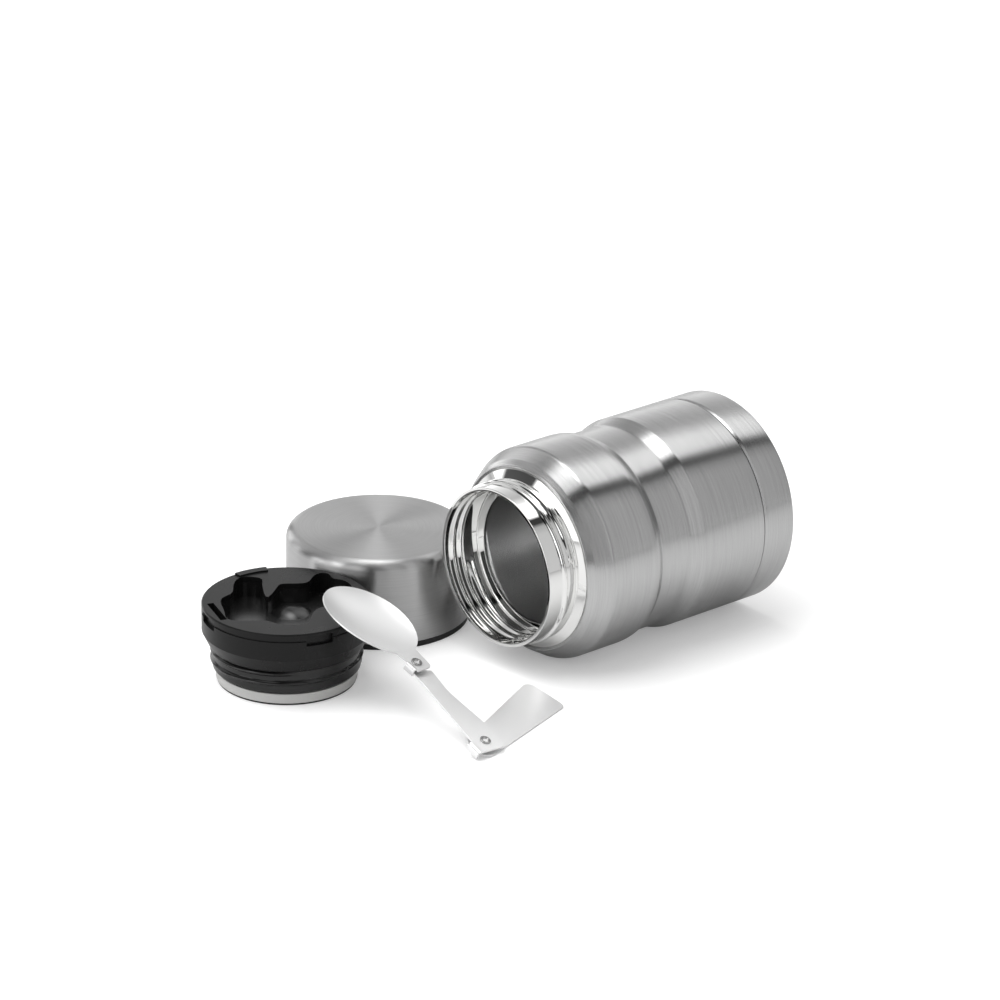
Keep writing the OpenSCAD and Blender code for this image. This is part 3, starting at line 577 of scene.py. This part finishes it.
def jar_shell():
    """The brushed outer wall, from the cup's ledge to the seam of the base cap."""
    crease_at, cone_end = WAIST_FROM - CREASE_LENGTH, WAIST_TO + CONE_LENGTH
    inner = BODY - SHELL_WALL
    first_dip, second_dip = 0.2, 0.55
    first_dip_at, second_dip_at = WAIST_FROM - 4.9, WAIST_FROM - 3.2
    inner_crease_round, inner_corner_round, inner_corner_at = 4, 5, CORNER_AT + 0.2
    outline = [
        (LEDGE_RADIUS - EDGE, LEDGE_AT + EDGE, 0),
        (BEAD_RADIUS - BEAD_INSET, LEDGE_AT - BEAD_RISE, EDGE),
        (BEAD_RADIUS + EDGE, LEDGE_AT + EDGE, EDGE),
        (SHOULDER_RADIUS, SHOULDER_AT, EDGE * 2),
        (BODY, CORNER_AT, CORNER_ROUND),
        (BODY, crease_at, SLOW_ROUND),
        (BODY - first_dip, first_dip_at, CREASE_ROUND),
        (BODY - second_dip, second_dip_at, WAIST_ROUND),
        (BODY - WAIST_DEPTH, WAIST_FROM, WAIST_ROUND),
        (BODY - WAIST_DEPTH, WAIST_TO, SLOW_ROUND),
        (BODY, cone_end, WAIST_ROUND),
        (BODY, SEAM_AT, SEAM_ROUND),
        (inner, SEAM_AT, 0),
        (inner, cone_end, WAIST_ROUND),
        (inner - WAIST_DEPTH, WAIST_TO, SLOW_ROUND),
        (inner - WAIST_DEPTH, WAIST_FROM, WAIST_ROUND),
        (inner, crease_at, inner_crease_round),
        (inner, inner_corner_at, inner_corner_round),
        (SHOULDER_RADIUS - SHELL_WALL, SHOULDER_AT + SHELL_WALL, 0)]
    shell = to_object(spun(rounded(outline)), "jar_shell", jar_place)
    return dressed(shell, jar_steel, "jar", "outer_shell")


def base_cap():
    """The brushed cap behind the seam, with its dished base."""
    wall = BODY - SHELL_WALL
    front, front_inset, front_slope, front_round = SEAM_AT + 0.45, 0.45, 1.8, 2.5
    front_edge, rim_round, inner_round = 0.1, 1.2, 0.6
    dish, dish_depth = BODY - 9, 1.5
    base, inside = LENGTH - dish_depth, LENGTH - dish_depth - SHELL_WALL
    outline = [
        (wall, front, 0), (BODY - front_inset, front, front_edge),
        (BODY, SEAM_AT + front_slope, front_round), (BODY, LENGTH, rim_round),
        (dish, LENGTH, EDGE), (dish - dish_depth, base, EDGE * 2), (0, base, 0),
        (0, inside, 0), (dish - dish_depth, inside, EDGE), (dish, LENGTH - SHELL_WALL, EDGE),
        (wall, LENGTH - SHELL_WALL, inner_round)]
    cap = to_object(spun(rounded(outline)), "jar_base_cap", jar_place)
    return dressed(cap, jar_steel, "jar", "base_cap")


VESSEL_WALL = 0.5
THROAT_RADIUS = 34.9
SEAT_AT = 19.4
SEAT_ROUND = 0.8
OPENING_RADIUS = 30.8
FLARE_AT = 21.0
FLARE_END = 30.5
FLARE_ROUND = 4
FOOD_RADIUS = 43.5
BOTTOM_WELD_AT = LENGTH - 14.8


def jar_throat():
    """The polished lip, rolled thread and seat that the stopper screws into."""
    throat, wall = THROAT_RADIUS, VESSEL_WALL
    lip_round = EDGE * 0.9
    straight_from, straight_to = SEAT_AT - 1, 1.0
    rolled_from, rolled_to = 1.2, SEAT_AT - 1.2
    outline = [
        (throat, 0, lip_round), (NECK_RADIUS, 0, lip_round), (NECK_RADIUS, LIP_THICKNESS, 0),
        (throat + wall, LIP_THICKNESS, 0), (throat + wall, SEAT_AT + wall, SEAT_ROUND),
        (OPENING_RADIUS + wall, SEAT_AT + wall, 0), (OPENING_RADIUS + wall, FLARE_AT, 0),
        (OPENING_RADIUS, FLARE_AT, 0), (OPENING_RADIUS, SEAT_AT, EDGE),
        (throat, SEAT_AT, SEAT_ROUND)]
    outline += ladder(throat, straight_from, straight_to)
    shape = spun(rounded(outline))
    rolled(shape, throat, rolled_from, rolled_to, INNER_THREAD, -1)
    lip = to_object(shape, "jar_throat", jar_place)
    return dressed(lip, neck_steel, "jar", "inner_vessel")


def food_space():
    """The satin wall of the food space behind the seat."""
    food, wall = FOOD_RADIUS, VESSEL_WALL
    outline = [
        (OPENING_RADIUS + wall, FLARE_AT, 0), (food + wall, FLARE_END, FLARE_ROUND),
        (food + wall, BOTTOM_WELD_AT, 0), (food, BOTTOM_WELD_AT, 0),
        (food, FLARE_END, FLARE_ROUND), (OPENING_RADIUS, FLARE_AT, 0)]
    vessel = to_object(spun(rounded(outline)), "jar_food_space", jar_place)
    return dressed(vessel, satin_steel, "jar", "inner_vessel")


# Cup lid
def cup_shell():
    """The brushed steel cup, standing mouth down."""
    radius, height, wall = CUP_RADIUS / MM, CUP_HEIGHT / MM, 0.5
    top_round, mouth_at, mouth_round = 5, 3, 0.1
    outline = [
        (0, height, 0), (radius, height, top_round), (radius, mouth_at, mouth_round),
        (radius - wall, mouth_at, mouth_round),
        (radius - wall, height - wall, top_round - wall), (0, height - wall, 0)]
    shell = to_object(spun(rounded(outline), closed=False), "cup_steel_shell", cup_place)
    return dressed(shell, cup_steel, "cup", "cup_shell")


# Stopper
def stopper_thread():
    """The stopper's lower body with its thread, down to the seal."""
    core, spigot, seal, wall = 32.9, 29.4, 31.9, 1.9
    bottom, bottom_hole, floor_at = 0.9, 9, 2.7
    seal_top, inner_shoulder_at, top = 5.9, 7.7, 24
    rolled_from, straight_to, rolled_to = 7.2, 17.6, 17.5
    step, shoulder_round = 0.25, 0.3
    outline = [(bottom_hole, bottom, 0), (spigot, bottom, 0), (spigot, seal_top, 0),
               (core, seal_top + core - seal, shoulder_round)]
    outline += ladder(core, rolled_from, straight_to, step)
    outline += [(core, top, 0), (core - wall, top, 0), (core - wall, inner_shoulder_at, 0),
                (spigot - wall, seal_top, 0), (spigot - wall, floor_at, 0),
                (bottom_hole, floor_at, 0)]
    shape = spun(rounded(outline))
    rolled(shape, core, rolled_from, rolled_to, STOPPER_THREAD)
    body = to_object(shape, "stopper_threaded_body", stopper_place)
    return dressed(body, thread_black, "stopper", "stopper_body")


# Folding spoon, in millimetres from each link's rivet
SHEET = 0.9
ARM_LOW = 1.2
ARM_HIGH = ARM_LOW + SHEET
TAB_LOW = 4.0
TAB_HIGH = TAB_LOW + SHEET
TAB_BACK = 4.9
TAB_CORNER = 1.8
TAB_LEFT = 3.7
TAB_LEFT_FROM = 1.8
TAB_RIGHT = 5.5
TAB_FLARE = 0.12
TAB_FILLET = 1.0
BOWL_HALF_LENGTH = 23.8
BOWL_HALF_WIDTH = 17.05
BOWL_CENTRE = 6.4 + BOWL_HALF_LENGTH
BOWL_SKEW = math.radians(10.2)
BOWL_DEPTH = 3.5
BOWL_FULLNESS = 2.2
BOWL_SHEET = 0.7
BOWL_RIM = 6.6
BOWL_TIP_DROP = 0.8
# Where the tab's sides run out into the oval, and where the tab's flat runs into the dish
TAB_FADE = 6, 20
DISH_FADE = 4.5, 12
HANDLE_LENGTH = 57.2
HANDLE_BACK = 7.3
HANDLE_ROOT_WIDTH = 14.1
HANDLE_END_WIDTH = 20.4
BEND_ROUND = 1.5
FLANGE_EDGE = 0.2
PLATE_BEVEL = 0.16 * MM
PLATE_SMOOTH_ANGLE = 12
# The skewed oval, measured along the tab: half its length, and how far its middle line drifts
BOWL_REACH = math.hypot(BOWL_HALF_LENGTH * math.cos(BOWL_SKEW),
                        BOWL_HALF_WIDTH * math.sin(BOWL_SKEW))
BOWL_DRIFT = ((BOWL_HALF_LENGTH ** 2 - BOWL_HALF_WIDTH ** 2) * math.sin(2 * BOWL_SKEW)
              / 2 / BOWL_REACH ** 2)


def bent_flange(inner, outer, high, low, first, last):
    """The edge of a sheet bent down, along the link from one end of the flange to the other."""
    section = rounded([
        (inner, high - SHEET, 0), (outer - SHEET, high - SHEET, BEND_ROUND - SHEET),
        (outer - SHEET, low, FLANGE_EDGE), (outer, low, FLANGE_EDGE),
        (outer, high, BEND_ROUND), (inner, high, 0)])
    shape = bmesh.new()
    face = shape.faces.new([shape.verts.new((first * MM, point.x, point.y)) for point in section])
    grown = bmesh.ops.extrude_face_region(shape, geom=[face])
    far = [part for part in grown["geom"] if isinstance(part, bmesh.types.BMVert)]
    bmesh.ops.translate(shape, verts=far, vec=((last - first) * MM, 0, 0))
    return shape


def joined(shapes, name, place, smooth_angle=SMOOTH_ANGLE):
    """Several shapes in one object."""
    whole = bmesh.new()
    for shape in shapes:
        bmesh.ops.recalc_face_normals(shape, faces=shape.faces)
        part = bpy.data.meshes.new("part")
        shape.to_mesh(part)
        shape.free()
        whole.from_mesh(part)
        bpy.data.meshes.remove(part)
    return to_object(whole, name, place, smooth_angle)


def smooth_step(value, low, high):
    """From 0 at the low value to 1 at the high one, without a kink at either."""
    share = min(1.0, max(0.0, (value - low) / (high - low)))
    return share * share * (3 - 2 * share)


def larger(first, second):
    """The larger of two widths, with a fillet where they cross."""
    return (first + second + math.hypot(first - second, TAB_FILLET)) / 2


def tab_sides(u):
    """The left and the right side of the tab, its right corner rounded."""
    left = TAB_LEFT + TAB_FLARE * max(0.0, u - TAB_LEFT_FROM)
    right = TAB_RIGHT + TAB_FLARE * u
    short = TAB_CORNER - (u + TAB_BACK)
    if short > 0:
        right -= TAB_CORNER - math.sqrt(max(0.0, TAB_CORNER ** 2 - short ** 2))
    return left, right


def bowl_surface(u, side):
    """A point of the bowl's upper face and its tab: u along in millimetres, side from -1 to 1."""
    ahead = u - BOWL_CENTRE
    oval = BOWL_HALF_LENGTH * BOWL_HALF_WIDTH * math.sqrt(max(0.0, BOWL_REACH ** 2 - ahead * ahead))
    oval /= BOWL_REACH ** 2
    drift = BOWL_DRIFT * ahead
    left, right = tab_sides(u)
    fade = 1 - smooth_step(u, *TAB_FADE)
    left, right = larger(left * fade, oval + drift), larger(right * fade, oval - drift)
    left -= (1 - fade) * (left - oval - drift)
    right -= (1 - fade) * (right - oval + drift)
    across = (left - right) / 2 + side * (left + right) / 2
    skew = Matrix.Rotation(-BOWL_SKEW, 2) @ Vector((ahead, across))
    inside = math.hypot(skew.x / BOWL_HALF_LENGTH, skew.y / BOWL_HALF_WIDTH)
    reach = min(1.0, abs(skew.x) / BOWL_HALF_LENGTH)
    rim = BOWL_RIM - (BOWL_RIM - TAB_HIGH if skew.x < 0 else BOWL_TIP_DROP) * reach * reach
    dish = rim - BOWL_DEPTH * (1 - min(1.0, inside) ** BOWL_FULLNESS)
    flow = smooth_step(u, *DISH_FADE)
    return Vector((u, across, TAB_HIGH + (dish - TAB_HIGH) * flow)) * MM


def spoon_bowl():
    """The dished bowl that runs into its rivet tab, with the stop flange bent down."""
    rows, columns, same_point = 128, 32, 1e-6
    shape = bmesh.new()
    bmesh.ops.create_grid(shape, x_segments=rows, y_segments=columns, size=1)
    length = BOWL_CENTRE + BOWL_REACH + TAB_BACK
    for vert in shape.verts:
        eased = (1 - math.cos(math.pi * (vert.co.x + 1) / 2)) / 2
        vert.co = bowl_surface(length * eased - TAB_BACK, vert.co.y)
    bmesh.ops.remove_doubles(shape, verts=shape.verts, dist=same_point)
    bmesh.ops.solidify(shape, geom=shape.faces, thickness=BOWL_SHEET * MM)
    flange = bent_flange(inner=3.2, outer=5.2, high=TAB_HIGH, low=1.4, first=-3.6, last=1.8)
    bowl = joined([shape, flange], "spoon_bowl_and_tab", bowl_place)
    return dressed(bowl, dish_painted_shade_steel, "bowl", "spoon_bowl")


def spoon_arm():
    """The middle link, waisted towards the bowl, with its stop flange."""
    back, right_to, right, corner = -6, 9, -8.1, 3
    waist_at, waist, waist_round = 32, -5.1, 20
    nose_from, nose_to, nose, nose_round = 44.5, 46.2, -6.7, 0.8
    neck_at, neck_round = 47, 0.5
    end_side, end_round = 3.9, 3.4
    end = RIVET_GAP / MM + end_side
    left_end_at, left_end, left_end_round = 46, 3, 8
    left_at, left, leaf_to, leaf, lap = 2.5, 6.5, 0.5, 6.9, 0.5
    outline = rounded([
        (back, right, corner), (right_to, right, corner), (waist_at, waist, waist_round),
        (nose_from, nose, nose_round), (nose_to, nose, nose_round),
        (neck_at, -end_side, neck_round), (end, -end_side, end_round),
        (end, end_side, end_round), (left_end_at, left_end, left_end_round),
        (left_at, left, 0), (leaf_to, leaf, 0), (back, leaf, 0)])
    leaf_plate = plate(outline, ARM_LOW * MM, ARM_HIGH * MM, PLATE_BEVEL)
    flange = bent_flange(inner=leaf - lap, outer=8.9, high=ARM_HIGH, low=-1.3,
                         first=-5.8, last=1)
    arm = joined([leaf_plate, flange], "spoon_middle_arm", arm_place, PLATE_SMOOTH_ANGLE)
    return dressed(arm, spoon_steel, "arm", "spoon_arm")


def spoon_handle():
    """The flat tapered handle plate, lying on its lower edge."""
    taper = math.atan((HANDLE_END_WIDTH - HANDLE_ROOT_WIDTH) / 2 / HANDLE_LENGTH)
    back_half = HANDLE_ROOT_WIDTH / 2 - HANDLE_BACK * math.tan(taper)
    end_half = HANDLE_END_WIDTH / 2
    back_round, low_round, high_round = 6, 2, 4.5
    outline = rounded([
        (-HANDLE_BACK, -back_half, back_round), (HANDLE_LENGTH, -end_half, low_round),
        (HANDLE_LENGTH, end_half, high_round), (-HANDLE_BACK, back_half, back_round)])
    shape = plate(outline, -SHEET * MM, 0, PLATE_BEVEL)
    shape.transform(Matrix.Rotation(taper, 4, "Z"))
    handle = to_object(shape, "spoon_handle_plate", handle_place, PLATE_SMOOTH_ANGLE)
    return dressed(handle, spoon_steel, "handle", "spoon_handle")


RIVET_STEPS = 48
RIVET_PLAY = 0.05  # between a rivet's head and the link that turns under it


def rivet(name, node_name, place, low, high):
    """A rivet with a rolled ring for a head at each end."""
    shank, head, rise = 1.5, 2.5, 0.5
    bore, sink, foot, roll, lip, pit = 1.2, 0.2, 0.1, 0.28, 0.2, 0.1

    def ring(base, way):
        top, bottom = base + way * rise, base - way * sink
        return [(shank, base, 0), (head, base, foot), (head, top, roll),
                (shank, top, lip), (bore, bottom, pit), (0, bottom, 0)]

    outline = list(reversed(ring(low, -1))) + ring(high, 1)
    piece = to_object(spun(rounded(outline), closed=False, steps=RIVET_STEPS), name, place)
    return dressed(piece, rivet_steel, "arm", node_name)


jar_neck()
jar_shell()
base_cap()
jar_throat()
food_space()
cup_shell()
stopper_thread()
spoon_bowl()
spoon_arm()
spoon_handle()
rivet("handle_rivet_rolled", "handle_rivet", arm_place, -SHEET - RIVET_PLAY, ARM_HIGH)
rivet("bowl_rivet_rolled", "bowl_rivet", arm_place @ Matrix.Translation((RIVET_GAP, 0, 0)),
      ARM_LOW, TAB_HIGH + RIVET_PLAY)


# Floor, light and camera
FLOOR_SIZE = 6.0
FLOOR_COLOR = 0.8
FLOOR_GLOW = 0.25  # what the camera sees the floor shine by itself
FLOOR_IN_METAL = 0.6  # the floor's colour where the steel mirrors it
SKY = 0.7
WHITE = (1, 1, 1, 1)


def white_floor():
    """A white floor that keeps the soft shadows and otherwise shows as plain white."""
    shape = bmesh.new()
    bmesh.ops.create_grid(shape, x_segments=1, y_segments=1, size=FLOOR_SIZE / 2)
    floor = to_object(shape, "floor", Matrix.Identity(4))
    material = bpy.data.materials.new("white_floor")
    material.use_nodes = True
    tree = material.node_tree
    tree.nodes.clear()
    link = tree.links.new
    diffuse = node(tree, "ShaderNodeBsdfDiffuse", Color=(*grey(FLOOR_COLOR), 1))
    glow = node(tree, "ShaderNodeEmission", Color=WHITE, Strength=FLOOR_GLOW)
    mirrored = node(tree, "ShaderNodeBsdfDiffuse", Color=(*grey(FLOOR_IN_METAL), 1))
    path = node(tree, "ShaderNodeLightPath")
    seen = node(tree, "ShaderNodeAddShader")
    lit = node(tree, "ShaderNodeMixShader")
    both = node(tree, "ShaderNodeMixShader")
    out = node(tree, "ShaderNodeOutputMaterial")
    link(diffuse.outputs[0], seen.inputs[0])
    link(glow.outputs[0], seen.inputs[1])
    link(path.outputs["Is Camera Ray"], lit.inputs[0])
    link(diffuse.outputs[0], lit.inputs[1])
    link(seen.outputs[0], lit.inputs[2])
    link(path.outputs["Is Glossy Ray"], both.inputs[0])
    link(lit.outputs[0], both.inputs[1])
    link(mirrored.outputs[0], both.inputs[2])
    link(both.outputs[0], out.inputs["Surface"])
    finish_piece(floor, material)


# The studio as a turn round the jar's axis: 0 is level in front, a half turn is level behind.
# Each stop is the share of the half turn and the brightness there. The second list is the same
# from the far left, beyond the mouth, to the far right, beyond the base. The two multiply.
STUDIO_STOPS = (
    (0.00, 0.42), (0.30, 0.40), (0.36, 0.30), (0.39, 0.03), (0.435, 0.03), (0.455, 0.95),
    (0.585, 0.95), (0.62, 0.62), (0.68, 0.36), (0.75, 0.42), (0.82, 0.52),
    (0.90, 0.66), (1.00, 1.00))
STUDIO_PANELS = (
    (0.00, 0.80), (0.03, 1.00), (0.10, 1.00), (0.115, 0.03), (0.25, 0.03),
    (0.27, 0.40), (0.40, 0.40), (0.415, 0.03), (0.45, 0.03), (0.47, 0.55), (0.61, 0.55),
    (0.63, 0.05), (0.68, 0.05), (0.70, 0.40), (0.89, 0.40), (0.93, 0.12), (1.00, 0.12))
STUDIO_LEVEL = 3.5
# The soft box overhead, added to them in the same two shares
BOX_TURN = ((0.00, 0.0), (0.45, 0.0), (0.52, 1.0), (0.56, 1.0), (0.64, 0.0), (1.00, 0.0))
BOX_ASIDE = ((0.00, 0.0), (0.40, 0.0), (0.50, 1.0), (0.56, 1.0), (0.68, 0.0), (1.00, 0.0))
BOX_LEVEL = 3.6


def grey_ramp(tree, stops):
    """A ramp of greys from its stops."""
    ramp = node(tree, "ShaderNodeValToRGB")
    elements = ramp.color_ramp.elements
    elements.remove(elements[-1])
    for index, (position, level) in enumerate(stops):
        element = elements[0] if index == 0 else elements.new(position)
        element.position = position
        element.color = (*grey(level), 1)
    return ramp


def studio_world():
    """A soft studio with strips of light along the jar, white where the camera sees it."""
    world = bpy.data.worlds.new("studio")
    bpy.context.scene.world = world
    world.use_nodes = True
    tree = world.node_tree
    tree.nodes.clear()
    link = tree.links.new
    way = node(tree, "ShaderNodeTexCoord")
    apart = node(tree, "ShaderNodeSeparateXYZ")
    ahead = node(tree, "ShaderNodeMath", operation="MULTIPLY")
    ahead.inputs[1].default_value = -1
    turn = node(tree, "ShaderNodeMath", operation="ARCTAN2")
    share = node(tree, "ShaderNodeMath", operation="DIVIDE")
    share.inputs[1].default_value = math.pi
    ramp = grey_ramp(tree, STUDIO_STOPS)
    aside = node(tree, "ShaderNodeMath", operation="MULTIPLY_ADD")
    aside.inputs[1].default_value = 0.5
    aside.inputs[2].default_value = 0.5
    panels = grey_ramp(tree, STUDIO_PANELS)
    level = node(tree, "ShaderNodeMath", operation="MULTIPLY")
    box_turn = grey_ramp(tree, BOX_TURN)
    box_aside = grey_ramp(tree, BOX_ASIDE)
    box = node(tree, "ShaderNodeMath", operation="MULTIPLY")
    summed = node(tree, "ShaderNodeMath", operation="MULTIPLY_ADD")
    summed.inputs[1].default_value = BOX_LEVEL / STUDIO_LEVEL
    path = node(tree, "ShaderNodeLightPath")
    soft = node(tree, "ShaderNodeBackground", Strength=STUDIO_LEVEL)
    plain = node(tree, "ShaderNodeBackground", Color=WHITE, Strength=1.0)
    sky = node(tree, "ShaderNodeBackground", Color=WHITE, Strength=SKY)
    dull = node(tree, "ShaderNodeMixShader")
    both = node(tree, "ShaderNodeMixShader")
    out = node(tree, "ShaderNodeOutputWorld")
    link(way.outputs["Generated"], apart.inputs[0])
    link(apart.outputs["Y"], ahead.inputs[0])
    link(apart.outputs["Z"], turn.inputs[0])
    link(ahead.outputs[0], turn.inputs[1])
    link(turn.outputs[0], share.inputs[0])
    link(share.outputs[0], ramp.inputs["Fac"])
    link(apart.outputs["X"], aside.inputs[0])
    link(aside.outputs[0], panels.inputs["Fac"])
    link(ramp.outputs["Color"], level.inputs[0])
    link(panels.outputs["Color"], level.inputs[1])
    link(share.outputs[0], box_turn.inputs["Fac"])
    link(aside.outputs[0], box_aside.inputs["Fac"])
    link(box_turn.outputs["Color"], box.inputs[0])
    link(box_aside.outputs["Color"], box.inputs[1])
    link(box.outputs[0], summed.inputs[0])
    link(level.outputs[0], summed.inputs[2])
    link(summed.outputs[0], soft.inputs["Color"])
    link(path.outputs["Is Glossy Ray"], dull.inputs[0])
    link(sky.outputs[0], dull.inputs[1])
    link(soft.outputs[0], dull.inputs[2])
    link(path.outputs["Is Camera Ray"], both.inputs[0])
    link(dull.outputs[0], both.inputs[1])
    link(plain.outputs[0], both.inputs[2])
    link(both.outputs[0], out.inputs["Surface"])


def soft_lamp(name, place, aim, size, power):
    """A soft lamp that shines from a place at a point, and that no metal mirrors."""
    lamp = bpy.data.lights.new(name, "AREA")
    lamp.shape = "RECTANGLE"
    lamp.size, lamp.size_y = size
    lamp.energy = power
    stand = bpy.data.objects.new(name, lamp)
    bpy.context.scene.collection.objects.link(stand)
    stand.location = place
    stand.rotation_euler = (Vector(aim) - Vector(place)).to_track_quat("-Z", "Y").to_euler()
    stand.visible_glossy = False


SENSOR = 36.0
FOCAL_LENGTH = 173.2
CAMERA_TARGET = MOUTH_X + 130.59 * MM, jar_middle.y + 147.03 * MM, 0.0
CAMERA_DISTANCE = 2328.94 * MM
CAMERA_AZIMUTH = math.radians(-41.18)
CAMERA_ELEVATION = math.radians(22.49)
CAMERA_ROLL = 0.0148
NEAREST, FARTHEST = 0.05, 50


def photo_camera():
    """The camera at the photograph's viewing angle."""
    azimuth, elevation = CAMERA_AZIMUTH, CAMERA_ELEVATION
    back = Vector((math.sin(azimuth) * math.cos(elevation),
                   -math.cos(azimuth) * math.cos(elevation), math.sin(elevation)))
    right = Vector((math.cos(azimuth), math.sin(azimuth), 0))
    up = back.cross(right)
    tilted_right = math.cos(CAMERA_ROLL) * right + math.sin(CAMERA_ROLL) * up
    tilted_up = math.cos(CAMERA_ROLL) * up - math.sin(CAMERA_ROLL) * right
    lens = bpy.data.cameras.new("photo_camera")
    lens.sensor_width = SENSOR
    lens.lens = FOCAL_LENGTH
    lens.clip_start, lens.clip_end = NEAREST, FARTHEST
    camera = bpy.data.objects.new("photo_camera", lens)
    bpy.context.scene.collection.objects.link(camera)
    place = Vector(CAMERA_TARGET) + back * CAMERA_DISTANCE
    camera.matrix_world = Matrix((
        (tilted_right.x, tilted_up.x, back.x, place.x),
        (tilted_right.y, tilted_up.y, back.y, place.y),
        (tilted_right.z, tilted_up.z, back.z, place.z),
        (0, 0, 0, 1)))
    bpy.context.scene.camera = camera


white_floor()
studio_world()
soft_lamp("overhead_lamp", place=(-0.4, 0.3, 1.2), aim=(0, 0, 0), size=(1.4, 1.4), power=21.0)
photo_camera()
bpy.context.scene.view_settings.view_transform = "Standard"
